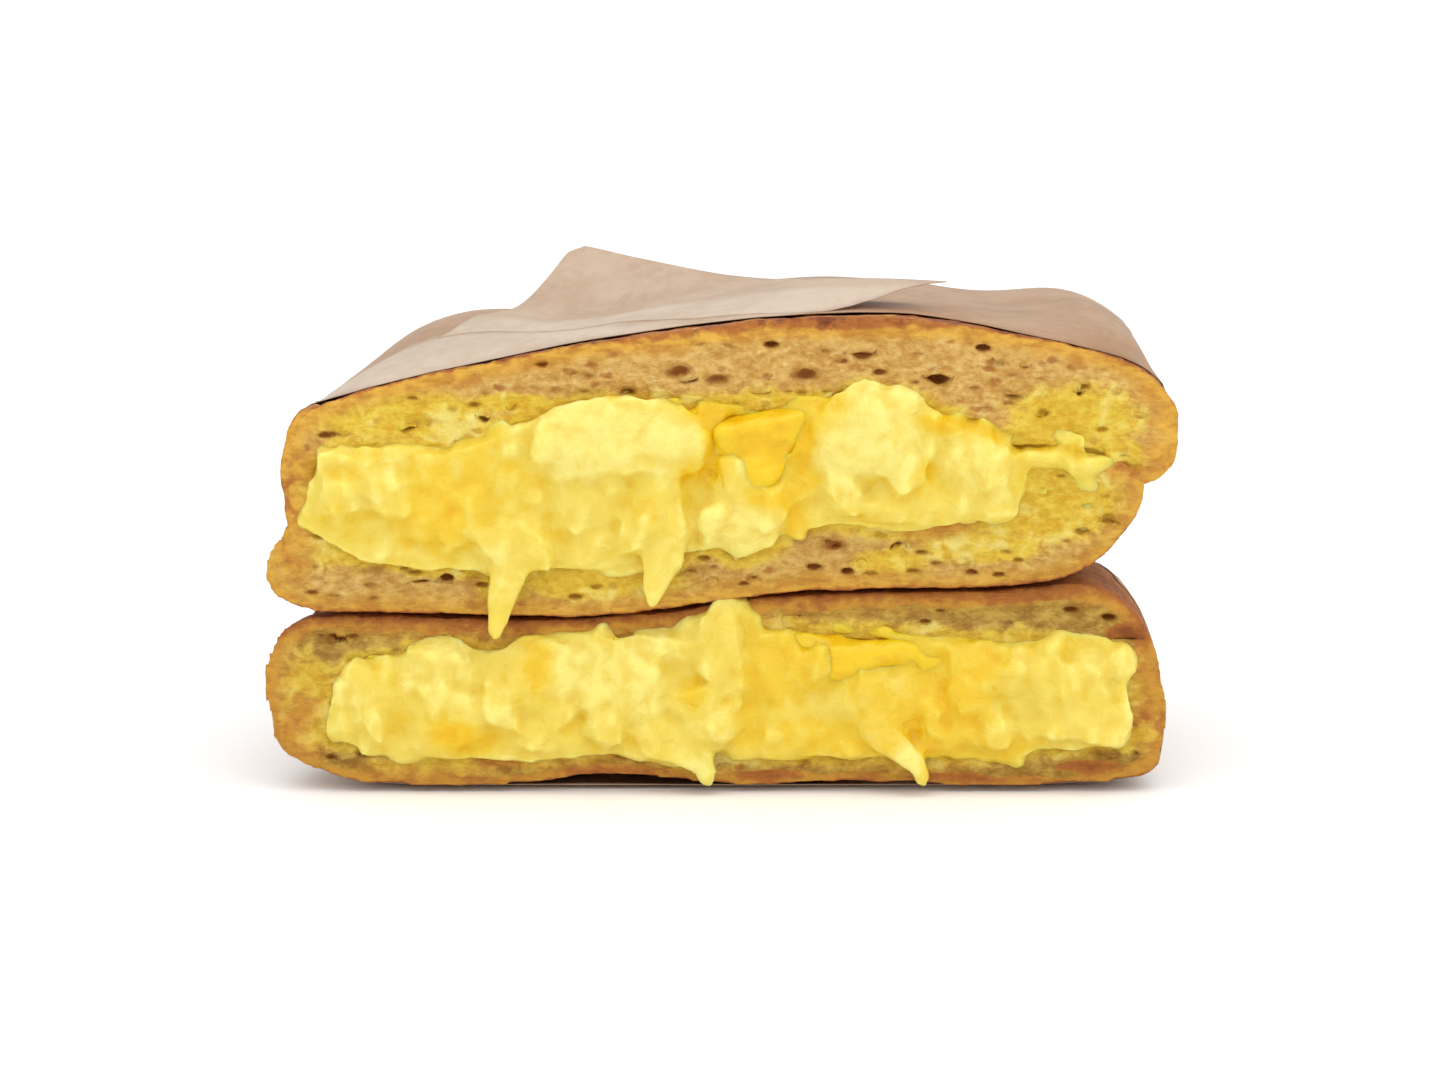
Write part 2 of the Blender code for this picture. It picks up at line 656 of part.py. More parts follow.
def place_on_origin(objects):
    """Moves everything so that the origin is at the middle of the bottom of its box."""
    graph = bpy.context.evaluated_depsgraph_get()
    corners = [Vector(corner) for obj in objects for corner in obj.evaluated_get(graph).bound_box]
    low = [min(corner[axis] for corner in corners) for axis in range(3)]
    high = [max(corner[axis] for corner in corners) for axis in range(3)]
    shift = Vector((-(low[0] + high[0]) / 2, -(low[1] + high[1]) / 2, -low[2]))
    for obj in objects:
        obj.data.transform(Matrix.Translation(shift))


def build():
    clear_scene()
    bread = make_material("toasted_bread", BREAD_COLOUR, 0.7)
    egg = make_material("scrambled_egg", EGG_COLOUR, 0.4)
    cheese = make_material("melted_cheese", CHEESE_COLOUR, 0.3)
    paper = make_material("wrapping_paper", PAPER_COLOUR, 0.6)

    upper_top = Slice(UPPER_TOP_CRUST, UPPER_TOP_CRUMB, fall=FALL)
    upper_base = Slice(UPPER_BASE_CRUST, UPPER_BASE_CRUMB)
    lower_top = Slice(LOWER_TOP_CRUST, LOWER_TOP_CRUMB, LOWER_SET_BACK)
    lower_base = Slice(LOWER_BASE_CRUST, LOWER_BASE_CRUMB, LOWER_SET_BACK)
    breads = [
        slice_object("upper_half_top_bread", upper_top, bread),
        slice_object("upper_half_base_bread", upper_base, bread),
        slice_object("lower_half_top_bread", lower_top, bread),
        slice_object("lower_half_base_bread", lower_base, bread),
    ]

    upper_cheese = cheese_object(
        "upper_half_cheese", upper_top, -49.0, 53.0, UPPER_CHEESE_PIECES, cheese, seed=11
    )
    lower_cheese = cheese_object(
        "lower_half_cheese", lower_top, -47.0, 50.0, LOWER_CHEESE_PIECES, cheese, seed=12
    )
    upper_drips = [
        drip([(-26.4, -1.6, 34.0), (-27.6, -2.4, 28.0), (-28.8, -2.6, 22.4)], (6.5, 5.0, 2.4), 2.6),
        drip([(-8.0, -1.4, 40.0), (-7.2, -2.2, 33.0), (-8.4, -2.4, 27.0)], (7.0, 6.0, 2.8), 2.6),
    ]
    lower_drips = [
        drip([(20.5, -0.6, 9.0), (23.4, -1.4, 5.6), (26.6, -1.6, 2.8)], (3.6, 3.6, 2.4), 2.4),
        drip([(-9.0, -0.2, 7.4), (-5.4, -0.8, 5.2), (-1.6, -1.0, 3.0)], (5.0, 4.6, 3.4), 2.0),
    ]
    upper_egg = egg_object(
        "upper_half_egg", upper_top, upper_base, -54.0, 40.0, UPPER_CURDS, upper_drips, egg, seed=21
    )
    lower_egg = egg_object(
        "lower_half_egg", lower_top, lower_base, -51.5, 54.0, LOWER_CURDS, lower_drips, egg, seed=41
    )

    for layer in (upper_cheese, lower_cheese):
        combine(layer, "DIFFERENCE", [grown(slab, GAP) for slab in breads])
        keep_main_body(layer)
    for layer, over in ((upper_egg, upper_cheese), (lower_egg, lower_cheese)):
        combine(layer, "DIFFERENCE", [*(grown(slab, GAP) for slab in breads), grown(over, 1.2 * GAP)])
        keep_main_body(layer)

    arc = upper_paper_arc(upper_top, upper_base)
    papers = [
        upper_paper_object(arc, paper),
        turned_back_object(arc, paper),
        lower_paper_object(lower_top, lower_base, paper),
    ]
    place_on_origin([*breads, upper_cheese, lower_cheese, upper_egg, lower_egg, *papers])


build()
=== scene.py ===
import math

import bpy
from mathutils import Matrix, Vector, noise
from mathutils.bvhtree import BVHTree
from mathutils.kdtree import KDTree


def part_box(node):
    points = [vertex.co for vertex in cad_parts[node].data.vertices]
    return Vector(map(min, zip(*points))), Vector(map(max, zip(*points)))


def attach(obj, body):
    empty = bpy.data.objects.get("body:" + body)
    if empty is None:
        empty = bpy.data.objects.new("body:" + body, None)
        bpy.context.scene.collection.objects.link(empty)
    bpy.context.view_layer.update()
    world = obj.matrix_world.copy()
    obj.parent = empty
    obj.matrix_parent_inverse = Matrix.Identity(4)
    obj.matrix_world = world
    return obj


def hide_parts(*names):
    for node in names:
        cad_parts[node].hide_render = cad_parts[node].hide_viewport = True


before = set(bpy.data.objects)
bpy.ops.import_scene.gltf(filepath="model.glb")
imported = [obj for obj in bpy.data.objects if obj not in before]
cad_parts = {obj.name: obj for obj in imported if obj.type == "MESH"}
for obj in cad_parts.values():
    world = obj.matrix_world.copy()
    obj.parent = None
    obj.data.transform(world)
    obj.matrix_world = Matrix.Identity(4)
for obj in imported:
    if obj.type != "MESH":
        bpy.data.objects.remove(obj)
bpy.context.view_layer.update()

MM = 0.001


# THE TABLE AND THE VIEW
# A white studio table under one wide soft lamp, seen from a little above the cut faces with a long lens.
cut_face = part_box("upper_half_top_bread")[0].y
lower_cut_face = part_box("lower_half_top_bread")[0].y
look_down = math.radians(10.5)
camera_distance = 0.702
aim = Vector((0.0, cut_face, 0.0339))

bpy.ops.object.select_all(action="DESELECT")
bpy.ops.object.camera_add(
    location=aim + camera_distance * Vector((0, -math.cos(look_down), math.sin(look_down))),
    rotation=(math.pi / 2 - look_down, 0, 0),
)
camera = bpy.context.object
camera.data.lens = 135
camera.data.sensor_width = 36
bpy.context.scene.camera = camera

bpy.ops.mesh.primitive_plane_add(size=12)
table = bpy.context.object
table.name = "table"
table_white = bpy.data.materials.new("table white")
table_white.use_nodes = True
table_finish = table_white.node_tree.nodes["Principled BSDF"].inputs
table_finish["Base Color"].default_value = (0.97, 0.97, 0.97, 1)
table_finish["Roughness"].default_value = 0.9
table_finish["Specular IOR Level"].default_value = 0.1
table.data.materials.append(table_white)

bpy.ops.object.light_add(type="SUN", rotation=(math.radians(28), 0, math.radians(8)))
lamp = bpy.context.object
lamp.data.energy = 1.55
lamp.data.angle = math.radians(80)
room = bpy.data.worlds.new("white room")
bpy.context.scene.world = room
room.use_nodes = True
room_light = room.node_tree.nodes["Background"].inputs
room_light["Color"].default_value = (1, 1, 1, 1)
room_light["Strength"].default_value = 0.84
bpy.context.scene.view_settings.view_transform = "Standard"


# THE BREAD
# Four slices of a flat oven-baked roll, with a thin golden-brown crust outside and an open moist crumb with
# holes of all sizes inside. Each is cut from the roll, so its crust wraps round the edge of the cut face.
def take_up(piece):
    """Selects this piece alone."""
    bpy.ops.object.select_all(action="DESELECT")
    piece.select_set(True)
    bpy.context.view_layer.objects.active = piece


def edit(piece):
    """Goes into edit mode on this piece alone, with all of it selected."""
    take_up(piece)
    bpy.ops.object.mode_set(mode="EDIT")
    bpy.ops.mesh.select_all(action="SELECT")


def select_faces(piece, test):
    """Leaves edit mode, selects the faces that pass a test, and goes back."""
    bpy.ops.mesh.select_mode(type="FACE")
    bpy.ops.mesh.select_all(action="DESELECT")
    bpy.ops.object.mode_set(mode="OBJECT")
    for face in piece.data.polygons:
        face.select = test(face)
    bpy.ops.object.mode_set(mode="EDIT")


def done():
    """Leaves edit mode."""
    bpy.ops.object.mode_set(mode="OBJECT")


def work(piece, kind, **settings):
    """Shapes a piece with one modifier and applies it."""
    take_up(piece)
    bpy.ops.object.modifier_add(type=kind)
    modifier = piece.modifiers[-1]
    for name, value in settings.items():
        setattr(modifier, name, value)
    bpy.ops.object.modifier_apply(modifier=modifier.name)


def push(piece, height, group, direction="Z"):
    """Moves a group of points by this many mm, along an axis or along their normals."""
    work(piece, "DISPLACE", direction=direction, strength=height * MM, mid_level=0.0, vertex_group=group)


def smooth(piece, passes, group=""):
    """Smooths a piece, or one group of its points."""
    work(piece, "SMOOTH", factor=0.5, iterations=passes, vertex_group=group)


def copy_solid(node, name, rounded=False):
    """A working copy of a solid, its triangles joined, and rounded if asked but for a crisp cut edge."""
    piece = bpy.data.objects.new(name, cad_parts[node].data.copy())
    bpy.context.scene.collection.objects.link(piece)
    piece.data.materials.clear()
    edit(piece)
    bpy.ops.mesh.remove_doubles(threshold=0.002 * MM)
    if rounded:
        bpy.ops.mesh.tris_convert_to_quads(
            face_threshold=math.radians(60), shape_threshold=math.radians(60)
        )
        select_faces(piece, lambda face: face.normal.y < -0.95)
        bpy.ops.mesh.region_to_loop()
        bpy.ops.transform.edge_crease(value=1.0)
    done()
    if rounded:
        work(piece, "SUBSURF", levels=2, render_levels=2)
    return piece


def ball(x, y, z, width, depth, height, turn, lumps, lump_height, detail=3):
    """An uneven ball, sized in mm and turned in the cut face by degrees."""
    bpy.ops.object.select_all(action="DESELECT")
    bpy.ops.mesh.primitive_ico_sphere_add(
        subdivisions=detail,
        radius=0.5 * MM,
        location=(x * MM, y * MM, z * MM),
        rotation=(0, math.radians(turn), 0),
        scale=(width, depth, height),
    )
    piece = bpy.context.object
    bpy.ops.object.transform_apply(location=True, rotation=True, scale=True)
    work(piece, "DISPLACE", texture=lumps, texture_coords="LOCAL", strength=lump_height * MM, mid_level=0.5)
    return piece


def cut_off_front(piece, y):
    """Cuts away all of a piece in front of this depth in mm."""
    edit(piece)
    bpy.ops.mesh.bisect(plane_co=(0, y * MM, 0), plane_no=(0, 1, 0), use_fill=True, clear_inner=True)
    done()


def join(pieces, name):
    """Makes several pieces one."""
    bpy.ops.object.select_all(action="DESELECT")
    for piece in pieces:
        piece.select_set(True)
    bpy.context.view_layer.objects.active = pieces[0]
    bpy.ops.object.join()
    pieces[0].name = name
    return pieces[0]


def grain(name, kind, size, **settings):
    """A procedural relief, its main features this many mm across."""
    texture = bpy.data.textures.new(name, kind)
    texture.noise_scale = size * MM
    for setting, value in settings.items():
        setattr(texture, setting, value)
    return texture


bpy.ops.object.empty_add()
lengthwise = bpy.context.object
lengthwise.scale = (2.2, 1.5, 1.0)


def emboss(piece, texture, height, direction="NORMAL", group="", level=0.5, drawn_out=False):
    """Raises a piece by a relief, by at most about this height in mm, drawn out along the roll if asked."""
    coordinates = {"texture_coords": "LOCAL"}
    if drawn_out:
        coordinates = {"texture_coords": "OBJECT", "texture_coords_object": lengthwise}
    work(piece, "DISPLACE", texture=texture, direction=direction, strength=height * MM, mid_level=level,
         vertex_group=group, **coordinates)


def blurred_points(piece):
    """Where the points of a piece would be with its fine relief smoothed away."""
    soft = piece.copy()
    soft.data = piece.data.copy()
    bpy.context.scene.collection.objects.link(soft)
    smooth(soft, 25)
    points = [vertex.co.copy() for vertex in soft.data.vertices]
    bpy.data.objects.remove(soft)
    return points


def mark(piece, name, values):
    """Keeps a number for each point of a piece, for its colour or its relief."""
    attribute = piece.data.attributes.new(name, "FLOAT", "POINT")
    attribute.data.foreach_set("value", values)


def weigh(piece, name, values):
    """A vertex group with a weight for each point, to the nearest of a few grades."""
    group = piece.vertex_groups.new(name=name)
    grades = 20
    levels = {}
    for index, value in enumerate(values):
        levels.setdefault(round(grades * max(0.0, min(1.0, value))), []).append(index)
    for level, points in levels.items():
        if level:
            group.add(points, level / grades, "REPLACE")
    return group.name


def ramp(value, low, high):
    """0 below low, 1 above high and smooth between."""
    share = max(0.0, min(1.0, (value - low) / (high - low)))
    return share * share * (3 - 2 * share)


def inside(places, point):
    """How far a point is inside any of these places on the cut face: 1 at the middle, 0 outside. Each place
    is (x, z, width, height) in mm."""
    best = 0.0
    for x, z, width, height in places:
        reach = math.hypot((point.x / MM - x) / (0.5 * width), (point.z / MM - z) / (0.5 * height))
        best = max(best, 1 - ramp(reach, 0.2, 1.3))
    return best


class Sum:
    """A value in a material that can be added, multiplied and so on."""

    def __init__(self, recipe, socket):
        self.recipe = recipe
        self.socket = socket

    def combined(self, operation, first, second):
        return self.recipe.put("ShaderNodeMath", {"operation": operation}, {0: first, 1: second})

    def __add__(self, other):
        return self.combined("ADD", self, other)

    def __sub__(self, other):
        return self.combined("SUBTRACT", self, other)

    def __rsub__(self, other):
        return self.combined("SUBTRACT", other, self)

    def __mul__(self, other):
        return self.combined("MULTIPLY", self, other)

    __radd__ = __add__
    __rmul__ = __mul__


class Recipe:
    """A material and what goes into it."""

    def __init__(self, name, **constants):
        self.material = bpy.data.materials.new(name)
        self.material.use_nodes = True
        self.nodes = self.material.node_tree.nodes
        self.shader = self.nodes["Principled BSDF"]
        for key, value in constants.items():
            self.shader.inputs[key.replace("_", " ")].default_value = value
        self.place = self.put("ShaderNodeTexCoord", {}, {}, "Object")

    def put(self, kind, settings, inputs, output=0):
        """Adds a node, sets it up, gives it values or links, and returns one of its outputs."""
        node = self.nodes.new(kind)
        for name, value in settings.items():
            setattr(node, name, value)
        for key, value in inputs.items():
            if isinstance(value, Sum):
                self.material.node_tree.links.new(value.socket, node.inputs[key])
            else:
                node.inputs[key].default_value = value
        return Sum(self, node.outputs[output])

    def kept(self, name):
        """A number kept on the piece's points."""
        return self.put("ShaderNodeAttribute", {"attribute_name": name}, {}, "Fac")

    def step(self, value, low, high):
        """0 below low, 1 above high and smooth between."""
        settings = {"interpolation_type": "SMOOTHSTEP"}
        return self.put("ShaderNodeMapRange", settings, {"Value": value, "From Min": low, "From Max": high})

    def cloud(self, size, detail=3.0, roughness=0.55, stretch=(1, 1, 1), distortion=0.0):
        """Soft noise about 0, from -0.5 to 0.5 at most, its features this many mm across."""
        place = self.put("ShaderNodeMapping", {}, {"Vector": self.place, "Scale": stretch})
        values = {"Vector": place, "Scale": 1000 / size, "Detail": detail, "Roughness": roughness}
        return self.put("ShaderNodeTexNoise", {}, {**values, "Distortion": distortion}) - 0.5

    def cells(self, size, stretch=(1, 1, 1)):
        """Distance from the middles of scattered cells this many mm across."""
        place = self.put("ShaderNodeMapping", {}, {"Vector": self.place, "Scale": stretch})
        return self.put("ShaderNodeTexVoronoi", {}, {"Vector": place, "Scale": 1000 / size})

    def mix(self, first, second, share):
        """One colour over another, each an (r, g, b) or an output."""
        colours = [colour if isinstance(colour, Sum) else (*colour, 1.0) for colour in (first, second)]
        inputs = {0: share, 6: colours[0], 7: colours[1]}
        return self.put("ShaderNodeMix", {"data_type": "RGBA"}, inputs, 2)

    def feed(self, **inputs):
        """Links values to the shader."""
        for name, value in inputs.items():
            self.material.node_tree.links.new(value.socket, self.shader.inputs[name.replace("_", " ")])

    def relief(self, height, distance):
        """A bump on the shader, this many mm high for a height of 1."""
        self.feed(Normal=self.put("ShaderNodeBump", {}, {"Height": height, "Distance": distance * MM}))


filling_nodes = ("upper_half_egg", "lower_half_egg", "upper_half_cheese", "lower_half_cheese")
filling_solid = join([copy_solid(node, "filling") for node in filling_nodes], "filling_solid")
to_filling = BVHTree.FromObject(filling_solid, bpy.context.evaluated_depsgraph_get())
bpy.data.objects.remove(filling_solid)

hole_shape = grain("hole shape", "CLOUDS", 1.6)
end_shape = grain("end shape", "CLOUDS", 7.0, noise_depth=1)
crumb_swell = grain("crumb swell", "CLOUDS", 5.0, noise_depth=1)
crumb_fibres = grain("crumb fibres", "CLOUDS", 1.2, noise_depth=3)
crust_blisters = grain("crust blisters", "CLOUDS", 5.0, noise_depth=2)
small_pores = grain("small pores", "VORONOI", 2.1)
large_pores = grain("large pores", "VORONOI", 4.6)
for pores in (small_pores, large_pores):
    pores.use_color_ramp = True
    pores.color_ramp.elements[0].position = 0.12
    pores.color_ramp.elements[0].color = (1, 1, 1, 1)
    pores.color_ramp.elements[1].position = 0.26
    pores.color_ramp.elements[1].color = (0, 0, 0, 1)

bread = Recipe("bread", Roughness=0.62, Specular_IOR_Level=0.28, Subsurface_Weight=0.12,
               Subsurface_Scale=0.0012, Subsurface_Radius=(1.0, 0.5, 0.15))
broad = bread.cloud(8.0, 3)
middling = bread.cloud(3.0, 4, distortion=0.6)
fine = bread.cloud(0.9, 5, 0.7, stretch=(0.6, 1, 1.1), distortion=0.25)
streaks = bread.cloud(1.3, 5, 0.65, stretch=(0.4, 0.7, 1.2), distortion=0.3)
from_crust = bread.kept("from_crust") + 2.2 * middling + 1.6 * broad
soaked = bread.step(bread.kept("soaked") + 0.9 * middling + 0.5 * broad + 0.5 * fine, 0.25, 0.8)
crumb_shade = bread.step(0.7 * middling + 1.2 * fine, -0.26, 0.14)
crumb = bread.mix((0.52, 0.26, 0.050), (0.70, 0.43, 0.115), crumb_shade)
crumb = bread.mix(crumb, (0.80, 0.60, 0.25), bread.step(fine + 0.3 * middling, 0.0, 0.3))
wet_shade = bread.step(0.7 * middling + 1.0 * fine, -0.22, 0.18)
wet = bread.mix((0.66, 0.38, 0.018), (0.80, 0.59, 0.062), wet_shade)
wet = bread.mix(wet, (0.85, 0.70, 0.19), bread.step(broad + middling, 0.04, 0.3))
crumb = bread.mix(crumb, wet, soaked)
golden_shade = bread.step(streaks + 0.6 * middling, -0.2, 0.18)
golden = bread.mix((0.54, 0.235, 0.030), (0.76, 0.43, 0.058), golden_shade)
crumb = bread.mix(golden, crumb, bread.step(from_crust, 0.9, 3.6))
browned_shade = bread.step(fine + streaks + middling, -0.25, 0.3)
browned = bread.mix((0.26, 0.125, 0.012), (0.50, 0.32, 0.050), browned_shade)
crumb = bread.mix(crumb, browned, bread.kept("browned") - 0.7 * soaked * bread.kept("browned"))
# Painted shade: a dark shadow colour, painted into small scattered dots of crumb as the shade inside pores
# and into the hollows below.
shadow = bread.mix((0.34, 0.098, 0.010), (0.50, 0.27, 0.018), soaked)
pore_shade = 1 - bread.step(bread.cells(2.1, (0.6, 0.6, 1.0)) + 0.35 * fine + 0.25 * streaks, 0.14, 0.34)
pore_shade = pore_shade * bread.step(middling + broad, -0.05, 0.14) * bread.step(from_crust, 1.0, 2.6)
crumb = bread.mix(crumb, shadow, 0.75 * pore_shade)
# Painted shade in hollows: crumb set back behind the cut or sunk below its smoothed place takes the dark
# shadow colour.
crumb = bread.mix(crumb, shadow, 0.9 * bread.step(bread.kept("hollow_shade") + 0.3 * fine, 0.1, 0.9))
crust_clouds = bread.cloud(9.0, 5, 0.6) + 0.8 * bread.cloud(1.5, 4) + 0.5 * streaks
crust_tone = crust_clouds + 0.22 - 0.4 * bread.kept("baked")
crust = bread.mix((0.19, 0.045, 0.012), (0.44, 0.145, 0.026), bread.step(crust_tone, -0.4, -0.08))
crust = bread.mix(crust, (0.72, 0.39, 0.045), bread.step(crust_tone, -0.08, 0.35))
crust = bread.mix(crust, (0.34, 0.115, 0.014), 0.45 * bread.kept("browned"))
past_crust = bread.step(from_crust - 0.8 * bread.kept("browned"), 0.1, 0.75)
bread.feed(Base_Color=bread.mix(crust, crumb, past_crust))
bread.relief(fine + 0.5 * middling + 0.5 * streaks, 0.55)


def slice_of_bread(node, crust_above, ends, holes, wet_places, crusty_places, browned, lift=0.0):
    """One slice, in mm. Ends are lumps of crumb that close the roll and holes are cut out of it, both as
    (x, z, width, height, turn, depth). The filling soaks into the wet places and crust shows on the crusty
    ones. Browned goes from 0 to 1 dark, and lift raises the outer side."""
    cut_normal = -0.9
    ends_begin = 52
    fine_layer = 1.6
    soaked_reach = (0.4, 4.6)
    soaked_depth = (3.0, 9.0)
    seam_depth = (30.0, 46.0)
    seam_closing = 3.4
    slab = copy_solid(node, node + "_slice", rounded=True)
    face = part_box(node)[0].y / MM
    outer = 1 if crust_above else -1
    skin_points = [vertex.co.copy() for vertex in slab.data.vertices]
    skin_faces = [
        list(polygon.vertices) for polygon in slab.data.polygons
        if polygon.normal.y > cut_normal and polygon.normal.z * outer > -0.3
    ]
    for x, z, width, height, turn, depth in ends:
        end = ball(x, face, z, width, 2 * depth, height, turn, end_shape, 0.15 * min(width, height))
        cut_off_front(end, face + 0.05)
        first = len(skin_points)
        skin_points += [vertex.co.copy() for vertex in end.data.vertices]
        skin_faces += [
            [first + index for index in polygon.vertices] for polygon in end.data.polygons
            if polygon.normal.x * x > 0.45 * abs(x) and polygon.normal.y > cut_normal
            and abs(polygon.center.x) > ends_begin * MM
        ]
        slab = join([slab, end], slab.name)
    to_crust = BVHTree.FromPolygons(skin_points, skin_faces)
    cutter = join([
        ball(x, face, z, width, 2 * depth, height, turn, hole_shape, 0.8 * min(width, height), detail=2)
        for x, z, width, height, turn, depth in holes
    ], "cutter")
    work(slab, "BOOLEAN", operation="DIFFERENCE", object=cutter, solver="EXACT", use_self=True)
    bpy.data.objects.remove(cutter)
    work(slab, "REMESH", mode="VOXEL", voxel_size=0.5 * MM)
    smooth(slab, 2)
    edit(slab)
    select_faces(slab, lambda polygon: polygon.center.y < (face + fine_layer) * MM)
    bpy.ops.mesh.subdivide(number_cuts=1)
    bpy.ops.mesh.select_all(action="SELECT")
    bpy.ops.mesh.quads_convert_to_tris()
    done()

    def facing(way, low, high):
        """How far each point faces outwards (way 1) or inwards (way -1), from 0 at low to 1 at high."""
        return [ramp(way * outer * vertex.normal.z, low, high) for vertex in slab.data.vertices]

    crust_distance = [
        to_crust.find_nearest(vertex.co)[3] / MM * (1 - inside(crusty_places, vertex.co))
        for vertex in slab.data.vertices
    ]
    soaked, on_crumb, porous = [], [], []
    for vertex, away in zip(slab.data.vertices, crust_distance):
        depth = vertex.co.y / MM - face
        front = 1 - ramp(depth, 0.8, 2.4)
        to_egg = to_filling.find_nearest(vertex.co)[3] / MM
        wet = max(1 - ramp(to_egg, *soaked_reach), inside(wet_places, vertex.co))
        wet *= 1 - ramp(depth, *soaked_depth)
        soaked.append(wet)
        on_crumb.append(front * ramp(away, 0.3, 1.8))
        patchy = ramp(noise.noise(vertex.co / (7 * MM)), -0.35, 0.3)
        porous.append(front * ramp(away, 1.0, 2.4) * (0.25 + 0.75 * patchy) * (1 - 0.6 * wet))
    crumb_group = weigh(slab, "crumb", on_crumb)
    pore_group = weigh(slab, "porous", porous)
    crust_group = weigh(slab, "crust", [1 - ramp(away, 0.2, 1.0) for away in crust_distance])
    mark(slab, "from_crust", crust_distance)
    mark(slab, "soaked", soaked)
    mark(slab, "browned", [browned] * len(slab.data.vertices))
    mark(slab, "baked", [
        max(share, inside(crusty_places, vertex.co))
        for share, vertex in zip(facing(1, 0.1, 0.95), slab.data.vertices)
    ])
    push(slab, -0.8 * outer, weigh(slab, "inner_side", facing(-1, 0.1, 0.8)))
    seam = weigh(slab, "seam", [
        share * ramp(vertex.co.y / MM - face, *seam_depth)
        for share, vertex in zip(facing(-1, -0.1, 0.5), slab.data.vertices)
    ])
    push(slab, -seam_closing * outer, seam)
    smooth(slab, 6, seam)
    if lift:
        push(slab, lift, weigh(slab, "top", facing(1, 0.1, 0.95)))
    emboss(slab, crumb_swell, 1.0, "Y", crumb_group)
    emboss(slab, large_pores, 1.6, "Y", pore_group, 0.0, drawn_out=True)
    emboss(slab, small_pores, 1.8, "Y", pore_group, 0.0, drawn_out=True)
    emboss(slab, crumb_fibres, 0.45, "NORMAL", crumb_group, drawn_out=True)
    emboss(slab, crust_blisters, 0.6, "NORMAL", crust_group, 0.6)
    emboss(slab, crumb_fibres, 0.25, "NORMAL", crust_group)
    # Painted shade for the hollows: how far each point is set back behind the cut or sunk below its smoothed
    # place, to darken its colour.
    hollow_shade = []
    for vertex, soft, away in zip(slab.data.vertices, blurred_points(slab), crust_distance):
        depth = vertex.co.y / MM - face
        deep = ramp(depth, 0.6, 1.6) if depth < 5 and away > 0.5 else 0.0
        sunk = (vertex.co.y - soft.y) / (0.5 * MM)
        hollow_shade.append(max(deep, min(1.0, max(0.0, sunk))))
    mark(slab, "hollow_shade", hollow_shade)
    slab.data.shade_smooth()
    slab.data.materials.append(bread.material)
    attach(slab, "root")
    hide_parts(node)
    return slab


upper_top = slice_of_bread(
    "upper_half_top_bread", True,
    ends=(
        (-54.4, 45.0, 5.0, 11.0, 14, 14), (-53.6, 48.0, 5.0, 7.0, 30, 14), (54.6, 46.0, 9.6, 8.0, -10, 14),
        (55.6, 49.5, 7.6, 10.0, 0, 14),
    ),
    holes=(
        (18.5, 58.6, 3.6, 1.9, -6, 2.4), (28.3, 55.4, 4.2, 2.6, 4, 3.2), (36.1, 57.4, 2.4, 2.4, 0, 1.4),
        (38.2, 52.9, 3.6, 2.0, 12, 1.6), (46.5, 53.5, 1.3, 2.0, 20, 2.0), (-4.3, 55.2, 3.8, 1.8, 0, 1.6),
        (-30.6, 50.2, 2.5, 1.5, 25, 2.2), (-33.5, 47.1, 2.5, 2.2, 0, 2.2), (-40.4, 48.8, 3.2, 1.4, -14, 2.4),
        (-48.7, 47.9, 1.9, 1.1, 15, 2.0), (-44.8, 46.7, 1.9, 1.1, 20, 2.0), (-30.6, 53.1, 2.2, 1.2, -10, 1.6),
        (-23.7, 53.8, 2.4, 1.0, 40, 2.0), (-27.0, 51.4, 2.4, 1.1, -45, 2.0), (0.5, 51.4, 4.0, 1.6, 8, 2.6),
        (41.5, 50.6, 1.8, 1.2, 0, 1.6), (5.5, 53.6, 3.6, 1.2, -6, 1.4), (-12.0, 53.6, 2.4, 1.3, -20, 1.6),
        (33.4, 49.2, 8.0, 2.2, 22, 3.6), (39.5, 57.0, 1.8, 1.4, -30, 1.4), (-2.6, 50.8, 3.0, 0.9, 40, 2.0),
    ),
    wet_places=(
        (-42.0, 50.5, 34.0, 9.0), (-27.0, 52.0, 16.0, 3.4), (46.0, 50.0, 24.0, 12.0), (38.0, 47.0, 8.0, 6.0),
    ),
    crusty_places=((-10.0, 62.4, 36.0, 6.4), (17.0, 63.6, 50.0, 6.2)),
    browned=0.0,
)
upper_base = slice_of_bread(
    "upper_half_base_bread", False,
    ends=(
        (-54.6, 41.5, 5.0, 9.0, -4, 14), (-54.2, 38.0, 5.4, 9.0, -8, 14), (-52.4, 33.5, 9.0, 7.0, 0, 14),
        (46.2, 40.6, 18.0, 8.4, 4, 16), (39.5, 37.0, 10.0, 7.0, 0, 14),
    ),
    holes=(
        (-38.5, 28.0, 5.2, 1.3, -4, 2.6), (-35.6, 28.6, 2.6, 1.8, -20, 2.8), (-46.0, 29.5, 1.5, 0.8, 20, 1.6),
        (-41.0, 29.9, 1.5, 0.9, 30, 1.6), (-32.0, 31.5, 2.2, 1.2, 0, 1.4), (23.2, 33.0, 2.8, 1.5, -30, 2.4),
        (50.5, 36.2, 3.6, 2.4, 10, 1.6), (14.0, 33.6, 2.0, 1.4, 0, 1.2), (-4.0, 29.4, 2.6, 1.4, 20, 1.8),
        (-1.0, 28.4, 2.0, 1.1, -10, 1.6), (18.5, 31.0, 1.6, 1.0, 0, 1.4), (-53.0, 37.0, 3.6, 1.2, -16, 2.0),
        (4.6, 28.6, 2.4, 1.2, -8, 1.8), (-50.6, 26.6, 3.0, 0.9, 6, 1.6),
    ),
    wet_places=(
        (42.0, 38.5, 32.0, 13.0), (-50.0, 33.5, 14.0, 8.0), (22.0, 31.0, 14.0, 5.0), (-17.0, 29.0, 34.0, 8.4),
        (34.0, 33.0, 22.0, 6.0),
    ),
    crusty_places=(),
    browned=0.25,
)
